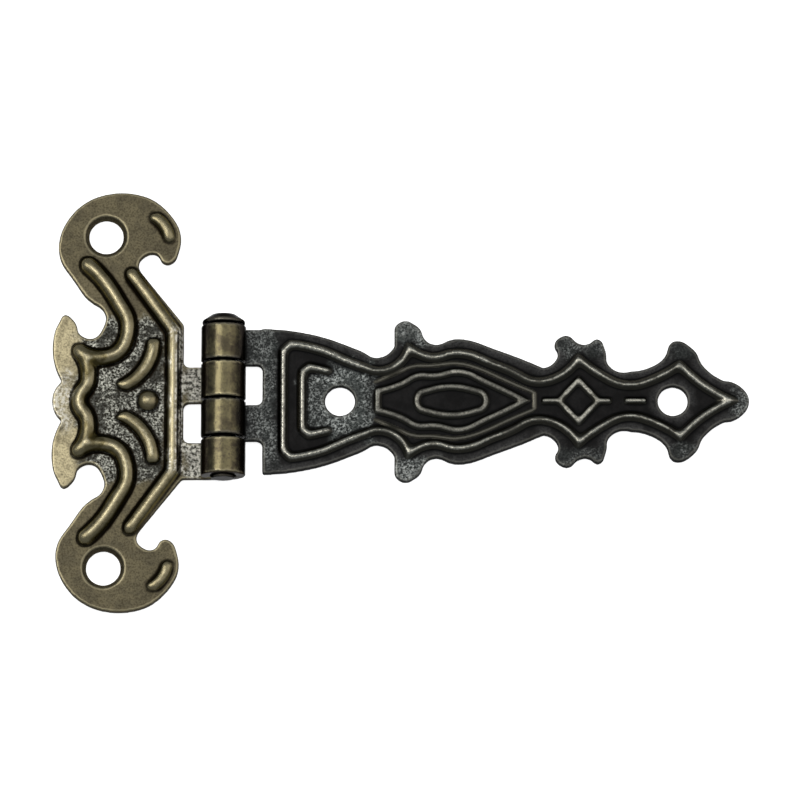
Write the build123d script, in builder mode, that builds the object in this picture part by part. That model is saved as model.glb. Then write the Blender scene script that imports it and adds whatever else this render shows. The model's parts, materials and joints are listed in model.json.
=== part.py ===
# Decorative strap hinge for a small box: a scrolled plate, a long ornamented strap and the pin between them.
# X runs along the strap, Y along the pin, Z up from the back faces.
# The origin lies midway between the plate's holes, on the plane of the back faces.
import os

from build123d import *

os.makedirs("parts", exist_ok=True)

# Sheet, barrel and pin
SHEET = 0.9
BARREL_DIAMETER = 4.1
BARREL_BOTTOM = -7.3
KNUCKLE_COUNT = 4
KNUCKLE_PITCH = 3.51
KNUCKLE_GAP = 0.16
CURL_ANGLE = 298
TAB_CORNER = 0.5
PIN_CLEARANCE = 0.05
PIN_END = 0.15
HEAD_DIAMETER = 3.9
HEAD_CLEARANCE = 0.06
HEAD_RIM = 0.3
HEAD_DOME = 0.6
HEAD_FLAT_DIAMETER = 2.2

# Plate and strap edges and holes, measured from the pin
PLATE_EDGE = -3.65
PLATE_HOLE_X = -10.8
PLATE_HOLE_Y = 15.4
PLATE_HOLE_DIAMETER = 3.1
PLATE_HOLE_RIM = 0.4
STRAP_EDGE = 3.5
STRAP_HALF_WIDTH = 6.75
STRAP_HOLE_NEAR = 10.55
STRAP_HOLE_FAR = 40.75
STRAP_HOLE_DIAMETER = 2.7

# Plate outline, upper half: the shoulder, round the beak and scroll, the side leaf and the middle lobe
SHOULDER = (PLATE_EDGE, 7.1)
SCROLL = [
    (-7.6, 12.05), (-7.8, 12.8), (-6.86, 13.75), (-4.9, 12.85), (-4.05, 14.4), (-5.9, 18.4), (-9.4, 19.5),
    (-13.6, 17.85), (-15.15, 14.3), (-13.15, 10.4), (-10.85, 7.25), (-12.15, 5.83), (-13.3, 6.5),
]
SIDE_LEAF = [(-13.3, 6.5), (-13.75, 7.6), (-14.45, 8.05), (-15.1, 7.2), (-15.6, 4.9), (-14.72, 1.82)]
MIDDLE_LOBE = [(-14.72, 1.82), (-15.6, 0), (-14.72, -1.82)]

# Plate ribs: crest points of their upper half, or both arcs of a crescent, with width and height
STEM = [(-12.4, 12.65), (-10.15, 10.0), (-8.73, 6.26), (-9.55, 4.53), (-10.9, 4.0), (-13.05, 4.55)]
BRACE = [(-13.05, 4.55), (-12.27, 2.0), (-13.15, 0), (-12.27, -2.0), (-13.05, -4.55)]
STEM_SIZE = (1.9, 0.75)
BORDER_END = (-8.4, 11.75)
BORDER_BEND = (-4.6, 6.5)
BORDER_SIZE = (1.6, 0.6)
MOUSTACHE_BACK = [(-5.65, 5.95), (-6.35, 2.8), (-9.1, 0.7)]
MOUSTACHE_HOLLOW = [(-7.15, 5.95), (-7.8, 3.5), (-10.2, 1.7)]
MOUSTACHE_HEIGHT = 0.5
BROW_BACK = [(-6.4, 17.8), (-4.95, 16.6), (-4.45, 14.75)]
BROW_HOLLOW = [(-7.2, 17.0), (-5.95, 16.0), (-5.55, 14.7)]
BROW_HEIGHT = 0.4
CRESCENT_TAPER = 35
CRESCENT_CORNER = 0.35
BOSS_X = -6.85
BOSS_SIZE = (2.4, 0.6)

# Strap outline, upper half: base and neck, ear and belly, side ears, end ears, then the round tip
NECK = [(STRAP_EDGE, STRAP_HALF_WIDTH), (8.7, 6.05), (12.3, 4.75), (14.0, 4.05), (15.48, 5.1)]
EAR = [(15.48, 6.8), (16.35, 7.48), (17.45, 7.08), (18.65, 5.43), (21.4, 5.8), (25.1, 4.68), (29.0, 3.1)]
SIDE_EARS = [
    (29.0, 3.1), (30.3, 4.1), (30.1, 5.5), (30.75, 6.05), (32.8, 5.27), (34.2, 5.7), (34.65, 4.8),
    (35.0, 3.3), (36.9, 2.77),
]
END_EARS = [(36.9, 2.77), (39.6, 3.65), (41.2, 5.63), (42.6, 4.9), (43.7, 3.1), (45.4, 1.9)]
TIP = [(45.4, 1.9), (46.8, 1.45), (47.7, 0), (46.8, -1.45), (45.4, -1.9)]

# Strap ridges: crest points of their upper half, with width and height
RIDGE_BASE = (5.36, 4.6)
RIDGE_CORNER = (6.1, 5.27)
RIDGE_NECK = [RIDGE_CORNER, (8.2, 4.87), (12.3, 3.25), (14.1, 2.72), (15.6, 3.2), (16.8, 4.95)]
RIDGE_BELLY = [(16.8, 4.95), (18.6, 4.05), (21.4, 4.43), (25.1, 3.15), (29.1, 1.77), (32.2, 3.95)]
RIDGE_SHANK = [(32.2, 3.95), (33.6, 2.8), (36.7, 1.43), (39.6, 2.25), (41.4, 3.36)]
RIDGE_END = [(41.4, 3.36), (43.4, 1.5), (46.1, 0)]
RIDGE_SIZE = (1.2, 0.45)
LOZENGE_BASE = (13.95, 0.9)
LOZENGE = [LOZENGE_BASE, (16.2, 1.6), (17.5, 2.3), (19.2, 2.32), (21.3, 2.7), (24.2, 1.55), (27.3, 0)]
OVAL = [(17.5, 0), (17.7, 0.6), (18.7, 1.02), (22.6, 1.02), (23.6, 0.6), (23.8, 0)]
DIAMOND_LEFT = (30.4, 0)
DIAMOND_TOP = (32.2, 1.91)
DIAMOND_RIGHT = (34.0, 0)
BRACKET_END = (9.5, 2.75)
BRACKET_BEND = (7.75, 3.17)
BRACKET_CORNER = (7.1, 2.65)
DASH_LEFT = (28.9, 0)
DASH_RIGHT = (35.1, 0)
DASH_FAR = [(36.4, 0), (38.3, 0)]
INNER_SIZE = (0.85, 0.3)

# Half sections of raised lines, from foot to crest, as shares of their width and height
RIB_SHAPE = [(0.5, 0), (0.24, 1)]
RIDGE_SHAPE = [(0.5, 0), (0, 1)]

# Values that follow from the ones above
BARREL_RADIUS = BARREL_DIAMETER / 2
BORE_RADIUS = BARREL_RADIUS - SHEET
PIN_RADIUS = BORE_RADIUS - PIN_CLEARANCE
PIN_X = -PLATE_HOLE_X
BARREL_TOP = BARREL_BOTTOM + KNUCKLE_COUNT * KNUCKLE_PITCH
ROOT = SHEET / 4
NEAR = 0.01
UP = Vector(0, 0, 1)

# The back and front of the flat sheet, with their origin in line with the pin
BACK = Plane((PIN_X, 0, 0))
FRONT = BACK.offset(SHEET)


def mirrored(points):
    """The points of an upper half, turned over into the lower half."""
    return [(x, -y) for x, y in points]


def bounced(heading, chord):
    """The heading at the other end of an arc, from the heading at one end and the chord."""
    return chord * (2 * heading.dot(chord) / chord.length**2) - heading


def draw_piece(start, end, heading, at_start):
    """One arc that is tangent to the heading at its start or end, or a line where it is straight."""
    ends = (start.X, start.Y), (end.X, end.Y)
    if abs((end - start).normalized().cross(heading).Z) < NEAR**2:
        Line(*ends)
    else:
        TangentArc(*ends, tangent=heading, tangent_from_first=at_start)


def smooth(points):
    """Draws a smooth run of tangent arcs through the points, or a straight line through two."""
    if len(points) == 2:
        Line(*points)
        return
    spots = [Vector(*point) for point in points]
    steps = [after - before for before, after in zip(spots, spots[1:])]
    pulls = [step / step.length**2 for step in steps]
    inner = [(before + after).normalized() for before, after in zip(pulls, pulls[1:])]
    turns = [bounced(inner[0], steps[0]), *inner, bounced(inner[-1], steps[-1])]
    for start, end, leave, arrive in zip(spots, spots[1:], turns, turns[1:]):
        chord = end - start
        if (bounced(leave, chord) - arrive).length < NEAR:
            draw_piece(start, end, leave, True)
            continue
        along, bend = chord.dot(leave + arrive), 1 - leave.dot(arrive)
        if bend < NEAR**2:
            reach = chord.length**2 / (2 * along)
        else:
            reach = ((along**2 + 2 * bend * chord.length**2) ** 0.5 - along) / (2 * bend)
        joint = (start + end + (leave - arrive) * reach) / 2
        draw_piece(start, joint, leave, True)
        draw_piece(joint, end, -arrive, False)


def knuckle_span(index):
    """Bottom and top of a knuckle, counted from the top of the barrel."""
    top = BARREL_TOP - index * KNUCKLE_PITCH
    return top - KNUCKLE_PITCH + KNUCKLE_GAP / 2, top - KNUCKLE_GAP / 2


def across(path, position):
    """The upright plane square to a path, with its Y axis along Z."""
    direction = path % position
    return Plane(origin=path @ position, x_dir=UP.cross(direction), z_dir=direction)


def section(plane, shape, width, height):
    """Section of a raised line, from its root in the sheet up to its crest."""
    side = [(width * shape[0][0], -ROOT)] + [(width * x, height * z) for x, z in shape]
    with BuildSketch(plane) as profile:
        with BuildLine():
            Polyline(*side, *[(-x, z) for x, z in reversed(side) if x > 0], close=True)
        make_face()
    return profile.sketch


def dome(plane, shape, size, spin, arc):
    """Half a section turned about its middle: the round end of a raised line, or a boss."""
    middle = Plane(plane.origin, z_dir=plane.x_dir)
    half = split(section(plane, shape, *size), bisect_by=middle, mode=Mode.PRIVATE)
    revolve(half, axis=Axis(plane.origin, spin), revolution_arc=arc)


def raised_line(runs, shape, size, domes):
    """Raised line along joined runs of points, with a round start (0) or end (1) where asked for."""
    with BuildLine(FRONT) as crest:
        for run in runs:
            smooth(run)
    path = crest.wires()[0]
    sweep(section(across(path, 0), shape, *size), path=path, transition=Transition.RIGHT)
    for position in domes:
        dome(across(path, position), shape, size, UP if position == 0 else -UP, 180)


def raised_loop(runs, shape, size):
    """Closed raised line, made of the runs of its upper half and their mirror image."""
    lower_runs = [mirrored(reversed(run)) for run in reversed(runs)]
    raised_line(runs + lower_runs, shape, size, domes=())


def crescents(back, hollow, height):
    """A raised crescent with blunt ends between two arcs, and its mirror image."""
    with BuildSketch(FRONT) as moon:
        with BuildLine():
            ThreePointArc(*mirrored(back))
            ThreePointArc(*mirrored(hollow))
            Line(*mirrored([back[0], hollow[0]]))
            Line(*mirrored([back[-1], hollow[-1]]))
        make_face()
        chamfer(moon.vertices(), CRESCENT_CORNER)
    mirror(extrude(moon.sketch, amount=height, taper=CRESCENT_TAPER), about=Plane.XZ)


def tab(edge, index):
    """Outline of the flat tab that leads from the edge of a leaf to under the pin."""
    low, high = knuckle_span(index)
    inside = edge + SHEET if edge > 0 else edge - SHEET
    return [(inside, low), (0, low), (0, high), (inside, high)]


def tab_roots(sketch, edge):
    """The inner corners where the tabs leave the edge of a leaf."""
    return sketch.vertices().filter_by(lambda v: abs(v.X - edge) < NEAR and abs(v.Y) < BORDER_BEND[1])


def rolled_eye(index, curl):
    """Sheet rolled round the pin, from under it to just short of its own tab."""
    low, high = knuckle_span(index)
    with BuildSketch(Plane((PIN_X, high, BARREL_RADIUS), x_dir=(1, 0, 0), z_dir=(0, -1, 0))) as roll:
        with BuildLine():
            outer = CenterArc((0, 0), BARREL_RADIUS, -90, curl)
            inner = CenterArc((0, 0), BORE_RADIUS, -90, curl)
            Line(outer @ 0, inner @ 0)
            Line(outer @ 1, inner @ 1)
        make_face()
    extrude(roll.sketch, amount=high - low)


# The plate, with the second and fourth knuckles
with BuildPart() as plate_leaf:
    with BuildSketch(BACK) as flat:
        with BuildLine():
            Polyline((PLATE_EDGE, 0), SHOULDER, SCROLL[0])
            smooth(SCROLL)
            smooth(SIDE_LEAF)
            mirror(about=Plane.XZ)
            smooth(MIDDLE_LOBE)
        make_face()
        for index in (1, 3):
            with BuildLine():
                Polyline(*tab(PLATE_EDGE, index), close=True)
            make_face()
        fillet(tab_roots(flat, PLATE_EDGE), TAB_CORNER)
        with Locations((PLATE_HOLE_X, PLATE_HOLE_Y), (PLATE_HOLE_X, -PLATE_HOLE_Y)):
            Circle(PLATE_HOLE_DIAMETER / 2, mode=Mode.SUBTRACT)
    extrude(amount=SHEET)
    front_rounds = plate_leaf.edges().filter_by(GeomType.CIRCLE).filter_by_position(Axis.Z, SHEET, SHEET)
    chamfer(front_rounds.filter_by(lambda e: e.is_closed), PLATE_HOLE_RIM)
    raised_line([BRACE], RIB_SHAPE, STEM_SIZE, domes=(0, 1))
    border = [BORDER_END, BORDER_BEND, *mirrored([BORDER_BEND, BORDER_END])]
    raised_line(zip(border, border[1:]), RIB_SHAPE, BORDER_SIZE, domes=(0, 1))
    for half in (list, mirrored):
        raised_line([half(STEM)], RIB_SHAPE, STEM_SIZE, domes=(0,))
    crescents(MOUSTACHE_BACK, MOUSTACHE_HOLLOW, MOUSTACHE_HEIGHT)
    crescents(BROW_BACK, BROW_HOLLOW, BROW_HEIGHT)
    boss_middle = FRONT.from_local_coords((BOSS_X, 0, 0))
    dome(Plane(boss_middle, x_dir=(1, 0, 0), z_dir=(0, -1, 0)), RIB_SHAPE, BOSS_SIZE, UP, 360)
    for index in (1, 3):
        rolled_eye(index, CURL_ANGLE)

# The strap, with the first and third knuckles
with BuildPart() as strap_leaf:
    with BuildSketch(BACK) as flat:
        with BuildLine():
            Line((STRAP_EDGE, 0), NECK[0])
            smooth(NECK)
            Line(NECK[-1], EAR[0])
            smooth(EAR)
            smooth(SIDE_EARS)
            smooth(END_EARS)
            mirror(about=Plane.XZ)
            smooth(TIP)
        make_face()
        for index in (0, 2):
            with BuildLine():
                Polyline(*tab(STRAP_EDGE, index), close=True)
            make_face()
        fillet(tab_roots(flat, STRAP_EDGE), TAB_CORNER)
        with Locations((STRAP_HOLE_NEAR, 0), (STRAP_HOLE_FAR, 0)):
            Circle(STRAP_HOLE_DIAMETER / 2, mode=Mode.SUBTRACT)
    extrude(amount=SHEET)
    ridge_start = [(RIDGE_BASE[0], 0), RIDGE_BASE]
    ridge_turn = [RIDGE_BASE, RIDGE_CORNER]
    ridge = [ridge_start, ridge_turn, RIDGE_NECK, RIDGE_BELLY, RIDGE_SHANK, RIDGE_END]
    raised_loop(ridge, RIDGE_SHAPE, RIDGE_SIZE)
    lozenge_start = [(LOZENGE_BASE[0], 0), LOZENGE_BASE]
    raised_loop([lozenge_start, LOZENGE], RIDGE_SHAPE, INNER_SIZE)
    raised_loop([OVAL], RIDGE_SHAPE, INNER_SIZE)
    raised_loop([[DIAMOND_LEFT, DIAMOND_TOP], [DIAMOND_TOP, DIAMOND_RIGHT]], RIDGE_SHAPE, INNER_SIZE)
    for dash in ([DASH_LEFT, DIAMOND_LEFT], [DIAMOND_RIGHT, DASH_RIGHT], DASH_FAR):
        raised_line([dash], RIDGE_SHAPE, INNER_SIZE, domes=())
    bracket = [BRACKET_END, BRACKET_BEND, BRACKET_CORNER]
    bracket += mirrored(reversed(bracket))
    raised_line(zip(bracket, bracket[1:]), RIDGE_SHAPE, RIDGE_SIZE, domes=(0, 1))
    for index in (0, 2):
        rolled_eye(index, -CURL_ANGLE)

# The pin, turned about its own axis
with BuildPart() as hinge_pin:
    seat = BARREL_TOP + HEAD_CLEARANCE
    crown = seat + HEAD_RIM + HEAD_DOME
    with BuildSketch(Plane((PIN_X, 0, BARREL_RADIUS))):
        with BuildLine():
            Polyline(
                (0, BARREL_BOTTOM - PIN_END), (PIN_RADIUS, BARREL_BOTTOM - PIN_END), (PIN_RADIUS, seat),
                (HEAD_DIAMETER / 2, seat), (HEAD_DIAMETER / 2, seat + HEAD_RIM),
                (HEAD_FLAT_DIAMETER / 2, crown), (0, crown), close=True,
            )
        make_face()
    revolve(axis=Axis((PIN_X, 0, BARREL_RADIUS), (0, 1, 0)))

plate_leaf.part.label = "plate_leaf"
export_step(plate_leaf.part, "parts/plate_leaf.step")
strap_leaf.part.label = "strap_leaf"
export_step(strap_leaf.part, "parts/strap_leaf.step")
hinge_pin.part.label = "hinge_pin"
export_step(hinge_pin.part, "parts/hinge_pin.step")
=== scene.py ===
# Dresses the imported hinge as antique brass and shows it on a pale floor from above, as in the photograph.
import json
import math

import bpy
import numpy as np
from mathutils import Matrix, Vector, kdtree, noise


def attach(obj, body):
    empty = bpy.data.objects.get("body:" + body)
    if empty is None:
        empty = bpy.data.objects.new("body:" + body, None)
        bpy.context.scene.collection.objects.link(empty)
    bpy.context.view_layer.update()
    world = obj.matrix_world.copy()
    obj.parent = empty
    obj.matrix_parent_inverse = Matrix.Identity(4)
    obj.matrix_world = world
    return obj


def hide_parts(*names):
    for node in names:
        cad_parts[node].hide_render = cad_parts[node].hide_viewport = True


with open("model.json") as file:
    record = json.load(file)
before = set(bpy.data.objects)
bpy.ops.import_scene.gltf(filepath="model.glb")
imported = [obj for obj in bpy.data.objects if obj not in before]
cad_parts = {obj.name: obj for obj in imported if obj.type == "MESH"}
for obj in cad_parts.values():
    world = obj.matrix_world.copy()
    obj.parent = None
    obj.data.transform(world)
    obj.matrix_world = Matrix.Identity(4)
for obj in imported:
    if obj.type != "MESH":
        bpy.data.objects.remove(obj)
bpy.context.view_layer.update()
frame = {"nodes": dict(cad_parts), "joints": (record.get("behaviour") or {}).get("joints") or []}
scene = bpy.context.scene

MM = 0.001

# The pin's axis, from which places on the leaves are counted, and the thickness of the sheet, in millimetres
PIN = Vector(frame["joints"][0]["pos_m"]) / MM
SHEET = 0.9

# Mesh of the pieces, in millimetres: the size of a cell, the steps that soften the edges, and the margin
# round a knuckle that still counts as barrel
LEAF_CELL = 0.12
PIN_CELL = 0.08
EDGE_STEPS = 3
EYE_MARGIN = 0.1

# Uneven surface: the size and the depth of its hollows, in millimetres
WAVE_SIZE = 0.8
WAVE_DEPTH = 0.01

# Raised lines: the height where they start, the share of their height where a flat top starts, the widest
# half of a flat top, and the steps that lead from foot to crest and from the foot on to the ground
FOOT = 0.06
TOP_SHARE = 0.9
TOP_REACH = 0.46
RIB_STEPS = 12
FOOT_STEPS = 4

# Rounding of raised lines: the steps that soften them, the lowest crest that is reckoned with, the share of
# the rise that is lost at the foot, the heights between which a line becomes a tall one, and how much fuller
# a tall one is
RIB_SOFT_STEPS = 8
RIB_LEAST = 0.3
RIB_CUT = 0.2
TALL = (0.33, 0.4)
TALL_FULLNESS = 0.5

# For each leaf: the share of a line's half width that is flank, the further steps and the cut of its tall
# lines, and the two powers that bend the rise from foot to crest
PLATE_RIBS = {"flank": 0.5, "tall_steps": 16, "tall_cut": 0.2, "bulge": (2, 0.5)}
STRAP_RIBS = {"flank": 1.0, "tall_steps": 30, "tall_cut": 0.33, "bulge": (1.6, 0.8)}

# Faint line between the outer ridge and the lozenge of the strap, and the short one that ends it, in
# millimetres from the pin. Its corners are cut in rounds, and it fades in from a share of its height.
FINE_START = 13.7
FINE_LINES = [
    [
        (FINE_START, 1.75), (15.9, 2.65), (17.1, 3.3), (19.0, 3.25),
        (21.1, 3.6), (23.2, 3.05), (26.0, 1.7), (28.0, 0.85),
    ],
    [(28.2, 0), (28.2, 0.7)],
]
FINE_HALF_WIDTH = 0.2
FINE_HEIGHT = 0.08
FINE_WEAR = 0.5
FINE_ROUNDS = 3
CORNER_CUT = 0.25
FINE_FADE = 1.5
FADE_FROM = 0.25

# Areas of the front, each with its left, right, low and high side in millimetres from the pin and an amount.
# All are mirrored about the middle line. Their edges are soft, and noise makes them wander.
AREA_EDGE = 0.8
AREA_WAVE = 1.1
AREA_STIR = 0.9
PLATE_BARE = [(-20, -5.2, -1, 7.5, 1.0), (-3.6, 0, -1, 8, 1.0)]
# Pale areas of the plate: the first is painted light on the side leaves, lighter where their sloped faces
# catch the light
PLATE_PALE_AND_LIT = [(-17, -13.1, 2.4, 9, 1.0), (-17, -13.4, -1, 3, 0.6)]
# Worn areas of the plate: the first paints light on the right half of the upright border, which its rounded
# rib turns away from the lamps
PLATE_WORN = [(-4.8, -3.5, -1, 6.6, 0.9), (-3.5, 0, -1, 8, 0.6), (-17, -14.1, -1, 2.6, 0.75)]
STRAP_BARE = [
    (7.2, 13.5, -1, 2.6, 0.6), (8.7, 13.5, -1, 2.6, 1.0), (9.7, 13.5, -1, 3.6, 1.0), (0, 4.9, -1, 8, 0.5),
    (15, 19, 5.4, 9, 1.0), (29, 36, 4.4, 8, 0.5), (40, 44, 4.2, 8, 0.5), (46.4, 50, -1, 4, 0.8),
]
STRAP_WORN = [(15, 18.4, 6.0, 9, 0.3)]
# Painted sheen on the strap: areas where the rubbed brass of the crests is spread over the flanks of the
# ridges as a soft highlight
STRAP_PAINTED_SHEEN = [
    (4, 12.5, -1, 8, 0.2), (12, 24, 2.9, 6, 0.1), (29.5, 36, 2.4, 6, 0.12), (41, 50, -1, 8, 0.16),
]
STRAP_TARNISH = [(13.2, 27.6, -1, 3.0, 0.6), (27.6, 36.5, -1, 2.4, 0.3)]

# Pale margin along the strap's outline and holes, and the flat backs
STRAP_MARGIN = 0.6
MARGIN_PALE = 0.55
BACK_DEPTH = 0.1
BACK_BARE = 0.5

# What each point of a skin is marked with: as given, and from its form. The last two say how far it stands
# proud of the surface, evened out over so many steps.
HAND_MARKS = ("rub", "painted_sheen", "tarnish", "bare", "pale", "worn")
PROUD_STEPS = {"crest": 8, "swell": 16}
FORM_MARKS = ("up", "eye", *PROUD_STEPS)

# Noise of the finish: the size of its grains in millimetres and their detail, and the share of fine grains
# in the grit
FINE_GRAINS = (0.17, 4)
PITS = (0.3, 4)
BLOTCHES = (1.6, 3)
GRAIN_ROUGHNESS = 0.62
FINE_SHARE = 0.6

# Soft steps of the finish: from which to which value of a noise or mark they go, and the shares there if they
# aren't 0 and 1
STEPS = {
    "ground": (0.35, 0.65), "dust": (0.58, 0.36, 0, 0.45), "patch": (0.4, 0.58, 0.08, 1),
    "speck": (0.45, 0.64), "hole": (0.47, 0.38, 0, 0.7),
    "pale_grain": (0.3, 0.62, 0.2, 1), "pale_patch": (0.34, 0.56, 0.3, 1),
    "barrel_painted_shade": (0.6, 0.95), "barrel_patch": (0.56, 0.36, 0, 0.6), "barrel_grit": (0.5, 0.38, 0, 0.45),
    "clean": (-0.05, -0.008), "clean_top": (0.4, 0.95, 0.3, 1),
    "rise": (0.01, 0.12), "off_crest": (0.95, 0.6), "level": (0.45, 0.9), "edge": (0.005, 0.022),
    "tarnish": (0, 1, 1, 0), "worn": (0.42, 0.6, 0.05, 1),
}
CREST_GRIT = (0.4, 0.56)

# How much of the noise is added to a mark
STIR = {"barrel_painted_shade": 0.4, "clean": 0.02, "rub": 0.2, "edge": 0.01, "tarnish": 0.5}

# Sheen of the finish: its roughness where dull and where rubbed, how near the flanks come to the rubbed
# metal, what is reflected at a low angle, and its relief
DULL_ROUGHNESS = 0.46
RUBBED_ROUGHNESS = 0.25
FLANK_SHEEN = 0.8
GRAZING_TINT = (0.45, 0.45, 0.45, 1)
BUMP_STRENGTH = 0.6
BUMP_DEPTH = 0.03 * MM

# Colours of the finishes. The flank tone is painted shade on the slopes of raised lines, the soot and shade
# tone is also painted shade on steep faces, and the plate's pale tone is also painted light on its side
# leaves
# The barrel's dark tone is painted shade on its steep sides, and also the colour of its dull patches and grit
BARREL_TONES = {"barrel_shade_and_dull": (0.029, 0.023, 0.019, 1), "barrel_top": (0.13, 0.113, 0.062, 1)}
PLATE_TONES = {
    "soot_and_shade": (0.01, 0.0075, 0.004, 1), "flank": (0.056, 0.045, 0.016, 1), "ground": (0.128, 0.11, 0.067, 1),
    "dull": (0.09, 0.078, 0.05, 1), "bare": (0.03, 0.03, 0.026, 1), "speck": (0.5, 0.5, 0.435, 1),
    "pale": (0.46, 0.4, 0.25, 1), "worn": (0.56, 0.54, 0.475, 1), "brass": (0.37, 0.325, 0.205, 1),
    **BARREL_TONES,
}
STRAP_TONES = {
    "soot_and_shade": (0.008, 0.008, 0.008, 1), "flank": (0.036, 0.034, 0.027, 1), "ground": (0.0145, 0.014, 0.014, 1),
    "dull": (0.0095, 0.0092, 0.0092, 1), "bare": (0.042, 0.047, 0.045, 1), "speck": (0.4, 0.42, 0.405, 1),
    "pale": (0.075, 0.075, 0.074, 1), "worn": (0.2, 0.2, 0.19, 1), "brass": (0.5, 0.485, 0.415, 1),
    **BARREL_TONES,
}
PIN_TONES = {
    "soot_and_shade": (0.006, 0.006, 0.006, 1), "flank": (0.012, 0.012, 0.011, 1), "ground": (0.03, 0.028, 0.025, 1),
    "dull": (0.02, 0.019, 0.017, 1), "bare": (0.03, 0.028, 0.025, 1), "speck": (0.2, 0.19, 0.17, 1),
    "pale": (0.1, 0.09, 0.08, 1), "worn": (0.1, 0.09, 0.08, 1), "brass": (0.25, 0.23, 0.18, 1),
    "barrel_shade_and_dull": (0.012, 0.01, 0.008, 1), "barrel_top": (0.05, 0.045, 0.04, 1),
}

# Camera: the point on the floor at the middle of the picture, and the angle and width of the view
VIEW_CENTRE = Vector((26.8, 0.28, 0)) * MM
VIEW_ELEVATION = math.radians(77.3)
VIEW_WIDTH = 72.7 * MM
LENS = 300
SENSOR = 36
CLIP_RATIO = 100

# Light: a soft lamp on the left, a broad one above and a dim one on the right, and even light from all sides.
# A lamp's angle is its tilt from straight above, in degrees, and all of them lean away from the viewer.
LAMP_DISTANCE = 0.24
LAMP_LEAN = math.radians(10)
LAMPS = {
    "key": {"angle": -28, "size": 0.11, "power": 0.152, "colour": (1, 0.98, 0.94)},
    "top": {"angle": 8, "size": 0.2, "power": 0.11, "colour": (1, 0.98, 0.95)},
    "fill": {"angle": 48, "size": 0.2, "power": 0.075, "colour": (1, 0.93, 0.9)},
}
WORLD_COLOUR = (0.9, 0.95, 1.0, 1)
WORLD_STRENGTH = 0.4

FLOOR_SIZE = 6
FLOOR_COLOUR = (0.86, 0.86, 0.86, 1)
FLOOR_ROUGHNESS = 0.9
GLOW_COLOUR = (1, 1, 1, 1)
FLOOR_GLOW = 0.8


class Shader:
    """A node material that is put together step by step."""

    def __init__(self, name):
        self.material = bpy.data.materials.new(name)
        self.material.use_nodes = True
        self.tree = self.material.node_tree
        self.surface = self.tree.nodes["Principled BSDF"].inputs

    def add(self, kind, inputs=None, **settings):
        node = self.tree.nodes.new("ShaderNode" + kind)
        for key, value in settings.items():
            setattr(node, key, value)
        for key, value in (inputs or {}).items():
            self.feed(node.inputs[key], value)
        return node

    def feed(self, socket, value):
        if isinstance(value, bpy.types.NodeSocket):
            self.tree.links.new(value, socket)
        else:
            socket.default_value = value

    def maths(self, operation, first, second):
        return self.add("Math", {0: first, 1: second}, operation=operation).outputs[0]

    def product(self, first, *others):
        for other in others:
            first = self.maths("MULTIPLY", first, other)
        return first

    def largest(self, first, *others):
        for other in others:
            first = self.maths("MAXIMUM", first, other)
        return first

    def ramp(self, value, low, high, floor=0.0, top=1.0):
        """A soft step from floor to top as the value goes from low to high."""
        inputs = {"Value": value, "From Min": low, "From Max": high, "To Min": floor, "To Max": top}
        return self.add("MapRange", inputs, interpolation_type="SMOOTHSTEP").outputs[0]

    def mix(self, share, first, second):
        """Colour between two colours."""
        node = self.add("Mix", data_type="RGBA")
        self.feed(node.inputs[0], share)
        self.feed(node.inputs[6], first)
        self.feed(node.inputs[7], second)
        return node.outputs[2]


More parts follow.
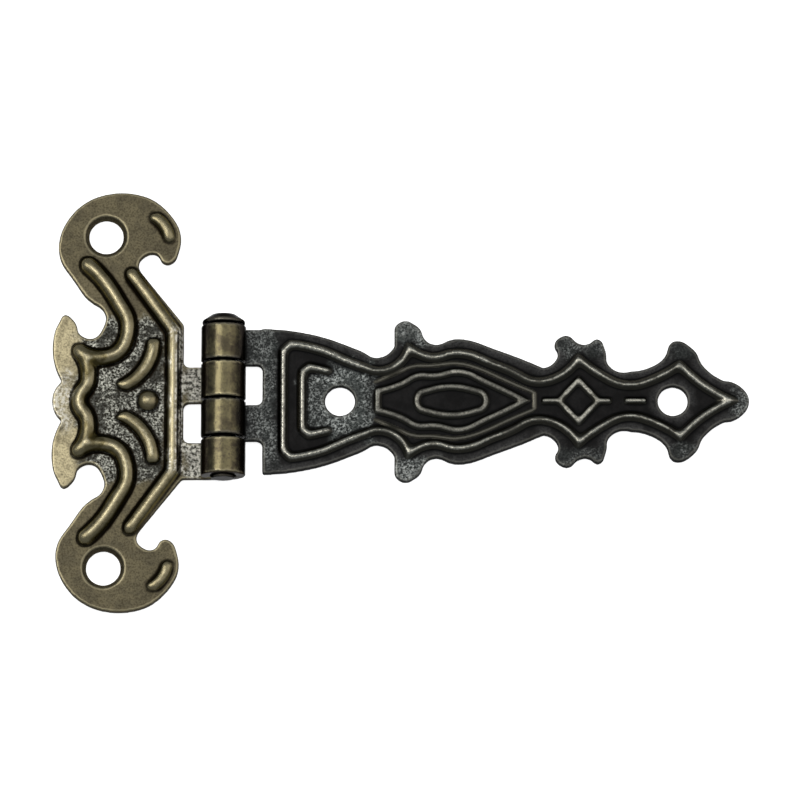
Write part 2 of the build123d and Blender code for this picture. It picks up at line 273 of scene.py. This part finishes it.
class Brass(Shader):
    """Blackened brass with soot in the corners and painted shade on steep faces and on the slopes of raised
    lines, rubbed back to metal on the crests and edges.
    """

    def __init__(self, name, tones, rub_step, edge_wear, crest_grit):
        super().__init__(name)
        self.tones = tones
        self.marks = {label: self.attribute(label) for label in HAND_MARKS + FORM_MARKS}
        place = self.add("TexCoord").outputs["Object"]
        self.place = self.add("VectorMath", {0: place, "Scale": 1 / MM}, operation="SCALE").outputs[0]
        self.fine = self.grain(*FINE_GRAINS)
        self.pits = self.grain(*PITS)
        self.blotch = self.grain(*BLOTCHES)
        coarse_part = self.product(self.pits, 1 - FINE_SHARE)
        self.grit = self.maths("ADD", self.product(self.fine, FINE_SHARE), coarse_part)
        self.uneven = self.maths("SUBTRACT", self.maths("ADD", self.pits, self.blotch), 1.0)

        rub = self.marks["rub"]
        flank = self.product(self.step("rise", rub), self.step("off_crest", rub))
        worn = self.product(self.marks["worn"], self.step("worn", self.pits), self.step("off_crest", rub))
        rubbed = self.rubbed(rub_step, edge_wear, crest_grit)
        colour = self.mix(self.marks["eye"], self.ground(), self.barrel())
        # Soot in the inner corners, and painted shade that darkens steep faces
        colour = self.mix(self.clean(), tones["soot_and_shade"], colour)
        # Painted shade: the slopes of the raised lines, between foot and crest, are darkened to the flank
        # tone
        colour = self.mix(flank, colour, tones["flank"])
        colour = self.mix(rubbed, colour, tones["brass"])
        colour = self.mix(worn, colour, tones["worn"])
        sheen = self.largest(rubbed, self.marks["eye"], self.product(flank, FLANK_SHEEN))
        relief = {"Strength": BUMP_STRENGTH, "Distance": BUMP_DEPTH, "Height": self.pits}

        self.feed(self.surface["Base Color"], colour)
        self.feed(self.surface["Metallic"], 1.0)
        self.feed(self.surface["Specular Tint"], GRAZING_TINT)
        self.feed(self.surface["Roughness"], self.ramp(sheen, 0, 1, DULL_ROUGHNESS, RUBBED_ROUGHNESS))
        self.feed(self.surface["Normal"], self.add("Bump", relief).outputs[0])

    def attribute(self, label):
        return self.add("Attribute", attribute_name=label).outputs["Fac"]

    def grain(self, size, detail):
        """Noise between 0 and 1 with grains of a size in millimetres."""
        inputs = {"Vector": self.place, "Scale": 1 / size, "Detail": detail, "Roughness": GRAIN_ROUGHNESS}
        return self.add("TexNoise", inputs).outputs["Fac"]

    def step(self, label, value):
        """The named soft step of a value, which noise makes uneven where that is set."""
        if label in STIR:
            value = self.stirred(label, value)
        return self.ramp(value, *STEPS[label])

    def stirred(self, label, value):
        return self.maths("ADD", value, self.product(self.uneven, STIR[label]))

    def ground(self):
        """Flat ground: dusty patina, pitted bare areas with specks, and pale ones, which on the plate's side
        leaves are painted light.
        """
        tones, bare = self.tones, self.marks["bare"]
        colour = self.mix(self.step("ground", self.blotch), tones["dull"], tones["ground"])
        colour = self.mix(bare, colour, tones["bare"])
        colour = self.mix(self.step("dust", self.fine), colour, tones["soot_and_shade"])
        specks = self.product(self.step("speck", self.grit), bare, self.step("patch", self.blotch))
        colour = self.mix(specks, colour, tones["speck"])
        holes = self.product(self.step("hole", self.grit), bare)
        colour = self.mix(holes, colour, tones["soot_and_shade"])
        mottle = self.product(self.step("pale_grain", self.fine), self.step("pale_patch", self.blotch))
        return self.mix(self.marks["pale"], colour, self.mix(mottle, tones["ground"], tones["pale"]))

    def barrel(self):
        """Rolled barrel: gold on top, with painted shade in brown on its steep sides, and dull patches."""
        side = self.tones["barrel_shade_and_dull"]
        # Painted shade: the barrel turns from gold to brown as its surface turns away from straight up
        colour = self.mix(self.step("barrel_painted_shade", self.marks["up"]), side, self.tones["barrel_top"])
        colour = self.mix(self.step("barrel_patch", self.blotch), colour, side)
        return self.mix(self.step("barrel_grit", self.grit), colour, side)

    def clean(self):
        """Share that is free of soot and painted shade: soot in the inner corners, and painted shade on steep
        faces.
        """
        return self.product(self.step("clean", self.marks["swell"]), self.step("clean_top", self.marks["up"]))

    def rubbed(self, rub_step, edge_wear, crest_grit):
        """Share that is rubbed back to metal: the crests where they aren't tarnished, widened by painted
        sheen, and the edges.
        """
        level = self.step("level", self.marks["up"])
        # Painted sheen widens the rubbed crests
        rub = self.maths("ADD", self.marks["rub"], self.marks["painted_sheen"])
        crests = self.product(
            self.ramp(self.stirred("rub", rub), *rub_step), level,
            self.step("tarnish", self.marks["tarnish"]), self.ramp(self.grit, *CREST_GRIT, 1 - crest_grit, 1),
        )
        edges = self.product(self.step("edge", self.marks["crest"]), level, edge_wear)
        return self.largest(crests, edges)


class Skin:
    """The surface of a node in even cells, in millimetres."""

    def __init__(self, node, cell):
        mesh = frame["nodes"][node].data.copy()
        mesh.transform(Matrix.Scale(1 / MM, 4))
        coarse = bpy.data.objects.new(node + "_coarse", mesh)
        scene.collection.objects.link(coarse)
        remesh = coarse.modifiers.new("cells", "REMESH")
        remesh.mode = "VOXEL"
        remesh.voxel_size = cell
        depsgraph = bpy.context.evaluated_depsgraph_get()
        self.node = node
        self.mesh = bpy.data.meshes.new_from_object(coarse.evaluated_get(depsgraph))
        bpy.data.objects.remove(coarse)
        self.points = self.read(self.mesh.vertices, "co", 3, float)
        self.edges = self.read(self.mesh.edges, "vertices", 2, int)
        self.marks = {label: np.zeros(len(self.points)) for label in HAND_MARKS}

    @staticmethod
    def read(items, label, width, kind):
        values = np.empty(len(items) * width, kind)
        items.foreach_get(label, values)
        return values.reshape(-1, width)

    def evened(self, values, steps):
        """The values, evened out over the surface in steps."""
        ends = np.concatenate([self.edges[:, 0], self.edges[:, 1]])
        others = np.concatenate([self.edges[:, 1], self.edges[:, 0]])
        degree = np.bincount(ends, minlength=len(values))[:, None]
        for _ in range(steps):
            columns = [np.bincount(ends, column[others], len(values)) for column in values.T]
            values = (values + np.stack(columns, axis=1) / degree) / 2
        return values

    def soften_edges(self):
        self.points = self.evened(self.points, EDGE_STEPS)

    def spread(self, values, steps, among):
        """The largest value that is within so many steps, among some of the points."""
        edges = self.edges[among[self.edges].all(axis=1)]
        for _ in range(steps):
            largest = values.copy()
            np.maximum.at(largest, edges[:, 0], values[edges[:, 1]])
            np.maximum.at(largest, edges[:, 1], values[edges[:, 0]])
            values = largest
        return values

    def carried(self, values, source, among):
        """The values of the source points, carried a little way on to the points beside them."""
        return np.where(source, values, self.spread(np.where(source, values, 0), FOOT_STEPS, among))

    def front(self):
        """Whether each point is on the front of the flat sheet, clear of the barrel."""
        return (self.points[:, 2] > SHEET - LEAF_CELL) & (abs(self.points[:, 0] - PIN.x) > PIN.z)

    def depth(self, inside, outside):
        """How far each inside point is from the nearest outside point, seen from above."""
        flat = self.points * (1, 1, 0)
        around = np.flatnonzero(outside)
        tree = kdtree.KDTree(len(around))
        for index in around:
            tree.insert(flat[index], index)
        tree.balance()
        away = np.zeros(len(flat))
        for index in np.flatnonzero(inside):
            away[index] = tree.find(flat[index])[2]
        return away

    def waves(self, size):
        """Noise at each point, between about -1 and 1, with waves of a size in millimetres."""
        return np.array([noise.noise(Vector(point) / size) for point in self.points])

    def round_ribs(self, flank, tall_steps, tall_cut, bulge):
        """Rounds the raised lines and marks their crests."""
        relief = self.points[:, 2] - SHEET
        front = self.front()
        raised = front & (relief > FOOT)
        height = np.maximum(self.spread(relief, RIB_STEPS, raised), FOOT)
        climb = np.where(raised, np.clip(relief / height, 0, 1), 0)
        if flank < 1:
            top = raised & (climb > TOP_SHARE)
            away = self.depth(top, raised & ~top)
            reach = np.minimum(self.spread(away, RIB_STEPS, top), TOP_REACH)
            on_top = np.clip(away / np.maximum(reach, FOOT), 0, 1)
            climb = np.where(top, flank + (1 - flank) * on_top, flank * climb / TOP_SHARE)
        height = self.carried(height, raised, front)
        tall = np.interp(height, TALL, (0, 1))
        soft = self.evened(climb[:, None], RIB_SOFT_STEPS)
        softer = self.evened(soft, tall_steps)
        soft = (soft + (softer - soft) * tall[:, None])[:, 0]
        crest = self.carried(self.spread(soft, RIB_STEPS, raised), raised, front)
        cut = RIB_CUT + (tall_cut - RIB_CUT) * tall
        inward = np.clip((soft / np.maximum(crest, RIB_LEAST) - cut) / (1 - cut), 0, 1) * front
        outward = (1 - inward) ** (1 - tall * TALL_FULLNESS)
        rounded = SHEET + height * (1 - outward ** bulge[0]) ** bulge[1]
        self.points[:, 2] = np.where(front & (relief > -FOOT), rounded, self.points[:, 2])
        self.marks["rub"] = 1 - outward

    def spots(self):
        """Where each point is along the strap and to the side of its middle line, from the pin."""
        return np.stack([self.points[:, 0] - PIN.x, abs(self.points[:, 1])], axis=1)

    def raise_line(self, corners):
        """A low curve along some corners of the upper half of the front, and its mirror image."""
        line = np.array(corners, float)
        for _ in range(FINE_ROUNDS):
            starts, ends = line[:-1], line[1:]
            cuts = [starts + (ends - starts) * share for share in (CORNER_CUT, 1 - CORNER_CUT)]
            line = np.concatenate([line[:1], np.stack(cuts, axis=1).reshape(-1, 2), line[-1:]])
        spots = self.spots()
        away = np.full(len(spots), np.inf)
        for start, end in zip(line[:-1], line[1:]):
            run = end - start
            along = np.clip((spots - start) @ run / (run @ run), 0, 1)
            away = np.minimum(away, np.linalg.norm(spots - start - along[:, None] * run, axis=1))
        bulge = np.clip(1 - (away / FINE_HALF_WIDTH) ** 2, 0, 1) * self.front()
        bulge *= np.clip(FADE_FROM + (spots[:, 0] - FINE_START) / FINE_FADE, 0, 1)
        self.points[:, 2] += bulge * FINE_HEIGHT
        self.marks["rub"] = np.maximum(self.marks["rub"], bulge * FINE_WEAR)

    def mark_areas(self, label, areas):
        """Marks soft-edged areas of the front."""
        x, y = self.spots().T
        stir = self.waves(AREA_WAVE) * AREA_STIR
        for left, right, low, high, amount in areas:
            inside = np.minimum.reduce([x - left, right - x, y - low, high - y])
            share = np.clip((inside + stir) / AREA_EDGE + 0.5, 0, 1) * self.front()
            self.marks[label] = np.maximum(self.marks[label], share * amount)

    def mark_back(self, label, amount):
        """Marks the flat back."""
        self.marks[label] = np.where(self.points[:, 2] < BACK_DEPTH, amount, self.marks[label])

    def mark_margin(self, label, reach, amount):
        """Marks the front along its outline and its holes, where it isn't bare."""
        front = self.front()
        away = self.depth(front, ~front & (self.points[:, 2] > SHEET / 2))
        share = np.clip((reach - away) / AREA_EDGE + 0.5, 0, 1) * front
        self.marks[label] = share * amount * (1 - self.marks["bare"])

    def roughen(self):
        """Uneven, hand-worn surface: shallow hollows along the normals."""
        self.points += self.normals() * (self.waves(WAVE_SIZE)[:, None] - 1) * WAVE_DEPTH

    def normals(self):
        self.mesh.vertices.foreach_set("co", self.points.ravel())
        self.mesh.update()
        return self.read(self.mesh.vertices, "normal", 3, float)

    def mark_form(self):
        """Marks what the finish needs to know of the form at each point."""
        normals = self.normals()
        across = np.hypot(self.points[:, 0] - PIN.x, self.points[:, 2] - PIN.z)
        self.marks["up"] = abs(normals[:, 2])
        self.marks["eye"] = (across < PIN.z + EYE_MARGIN).astype(float)
        for label, steps in PROUD_STEPS.items():
            self.marks[label] = ((self.points - self.evened(self.points, steps)) * normals).sum(axis=1)

    def dress(self, name, body, finish):
        """Puts the skin in the place of its node, as a piece with a finish."""
        self.mark_form()
        for label, values in self.marks.items():
            self.mesh.attributes.new(label, "FLOAT", "POINT").data.foreach_set("value", values)
        self.mesh.transform(Matrix.Scale(MM, 4))
        self.mesh.shade_smooth()
        self.mesh.materials.clear()
        self.mesh.materials.append(finish.material)
        piece = bpy.data.objects.new(name, self.mesh)
        scene.collection.objects.link(piece)
        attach(piece, body)
        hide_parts(self.node)


def make_plate():
    skin = Skin("plate_leaf", LEAF_CELL)
    skin.round_ribs(**PLATE_RIBS)
    skin.soften_edges()
    skin.mark_areas("bare", PLATE_BARE)
    skin.mark_back("bare", BACK_BARE)
    skin.mark_areas("pale", PLATE_PALE_AND_LIT)
    skin.mark_areas("worn", PLATE_WORN)
    skin.roughen()
    finish = Brass("plate_antique_brass", PLATE_TONES, rub_step=(0.6, 0.97), edge_wear=0.5, crest_grit=0.2)
    skin.dress("plate", "plate", finish)


def make_strap():
    skin = Skin("strap_leaf", LEAF_CELL)
    skin.round_ribs(**STRAP_RIBS)
    skin.soften_edges()
    for line in FINE_LINES:
        skin.raise_line(line)
    skin.mark_areas("bare", STRAP_BARE)
    skin.mark_back("bare", BACK_BARE)
    skin.mark_areas("worn", STRAP_WORN)
    skin.mark_areas("painted_sheen", STRAP_PAINTED_SHEEN)
    skin.mark_areas("tarnish", STRAP_TARNISH)
    skin.mark_margin("pale", STRAP_MARGIN, MARGIN_PALE)
    skin.roughen()
    finish = Brass("strap_antique_brass", STRAP_TONES, rub_step=(0.48, 0.94), edge_wear=0.1, crest_grit=0.6)
    skin.dress("strap", "strap", finish)


def make_pin():
    skin = Skin("hinge_pin", PIN_CELL)
    skin.soften_edges()
    finish = Brass("pin_blackened", PIN_TONES, rub_step=(0.4, 0.95), edge_wear=0.3, crest_grit=0.2)
    skin.dress("pin", "plate", finish)


def soft_lamp(name, angle, size, power, colour):
    """A soft square lamp above the hinge, to one side of it, that faces it."""
    tilt = math.radians(angle)
    aim = Vector((math.sin(tilt), math.sin(LAMP_LEAN), math.cos(tilt))).normalized()
    lamp = bpy.data.lights.new(name, "AREA")
    lamp.size = size
    lamp.energy = power
    lamp.color = colour
    holder = bpy.data.objects.new(name, lamp)
    holder.location = VIEW_CENTRE + aim * LAMP_DISTANCE
    holder.rotation_euler = (-aim).to_track_quat("-Z", "Y").to_euler()
    scene.collection.objects.link(holder)


def light_studio():
    for name, lamp in LAMPS.items():
        soft_lamp(name, **lamp)
    world = bpy.data.worlds.new("studio")
    world.use_nodes = True
    sky = world.node_tree.nodes["Background"].inputs
    sky["Color"].default_value = WORLD_COLOUR
    sky["Strength"].default_value = WORLD_STRENGTH
    scene.world = world


def white_paper():
    """Pale paper that looks white to the camera and in reflections, and lights nothing by itself."""
    paper = Shader("white_paper")
    path = paper.add("LightPath").outputs
    seen = paper.largest(path["Is Camera Ray"], path["Is Glossy Ray"], path["Is Transmission Ray"])
    paper.feed(paper.surface["Base Color"], FLOOR_COLOUR)
    paper.feed(paper.surface["Roughness"], FLOOR_ROUGHNESS)
    paper.feed(paper.surface["Emission Color"], GLOW_COLOUR)
    paper.feed(paper.surface["Emission Strength"], paper.product(seen, FLOOR_GLOW))
    return paper.material


def lay_floor():
    half = FLOOR_SIZE / 2
    corners = [(-half, -half, 0), (half, -half, 0), (half, half, 0), (-half, half, 0)]
    mesh = bpy.data.meshes.new("floor")
    mesh.from_pydata(corners, [], [(0, 1, 2, 3)])
    mesh.materials.append(white_paper())
    floor = bpy.data.objects.new("floor", mesh)
    scene.collection.objects.link(floor)


def set_camera():
    camera_data = bpy.data.cameras.new("camera")
    camera_data.lens = LENS
    camera_data.sensor_width = SENSOR
    distance = VIEW_WIDTH * LENS / SENSOR
    camera_data.clip_start = distance / CLIP_RATIO
    camera_data.clip_end = distance * CLIP_RATIO
    back = Vector((0, -math.cos(VIEW_ELEVATION), math.sin(VIEW_ELEVATION)))
    camera = bpy.data.objects.new("camera", camera_data)
    camera.location = VIEW_CENTRE + back * distance
    camera.rotation_euler = (-back).to_track_quat("-Z", "Y").to_euler()
    scene.collection.objects.link(camera)
    scene.camera = camera


make_plate()
make_strap()
make_pin()
light_studio()
lay_floor()
set_camera()
scene.view_settings.view_transform = "Standard"
